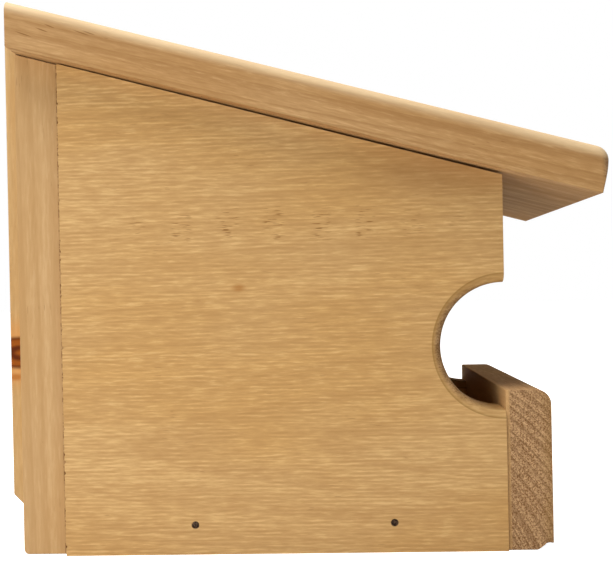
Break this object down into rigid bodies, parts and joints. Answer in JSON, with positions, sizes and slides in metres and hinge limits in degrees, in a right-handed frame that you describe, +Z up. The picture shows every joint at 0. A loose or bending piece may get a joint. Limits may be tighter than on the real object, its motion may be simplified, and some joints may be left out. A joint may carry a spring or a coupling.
{
  "type": "nest box",
  "caption": "Half-open nest box: wooden board box with an open front over a low front board, half-round side notches, sloping overhanging roof and rear hanging batten.",
  "frame": {"origin": "centre of the box's footprint, on the ground plane under its lower edges", "axes": "+Z up, the open front faces -Y, +X towards the right side panel as seen from behind the front looking along +Y"},
  "size_m": [0.145, 0.2566, 0.2242],
  "materials": {
    "beech": "planed hardwood, oiled satin, fine straight grain with short darker flecks",
    "front_wood": "planed hardwood, satin, end grain showing at both ends",
    "roof_softwood": "planed pale wood with grain along the slope, satin",
    "rear_softwood": "planed pale wood, upright grain, some knots, satin",
    "nail_steel": "dark bare steel, dull",
    "screw_steel": "zinc plated, satin"
  },
  "bodies": {
    "root": {"side_panel_left": "beech", "side_panel_right": "beech", "floor_board": "roof_softwood", "back_board": "rear_softwood", "front_board": "front_wood", "roof_board": "roof_softwood", "hanging_batten": "rear_softwood", "floor_nail_left_1": "nail_steel", "floor_nail_left_2": "nail_steel", "floor_nail_right_1": "nail_steel", "floor_nail_right_2": "nail_steel", "front_nail_left_1": "nail_steel", "front_nail_left_2": "nail_steel", "front_nail_right_1": "nail_steel", "front_nail_right_2": "nail_steel", "back_nail_left_1": "nail_steel", "back_nail_left_2": "nail_steel", "back_nail_left_3": "nail_steel", "back_nail_right_1": "nail_steel", "back_nail_right_2": "nail_steel", "back_nail_right_3": "nail_steel", "roof_nail_left_1": "nail_steel", "roof_nail_left_2": "nail_steel", "roof_nail_left_3": "nail_steel", "roof_nail_right_1": "nail_steel", "roof_nail_right_2": "nail_steel", "roof_nail_right_3": "nail_steel", "batten_screw_1": "screw_steel", "batten_screw_2": "screw_steel"}
  },
  "joints": []
}
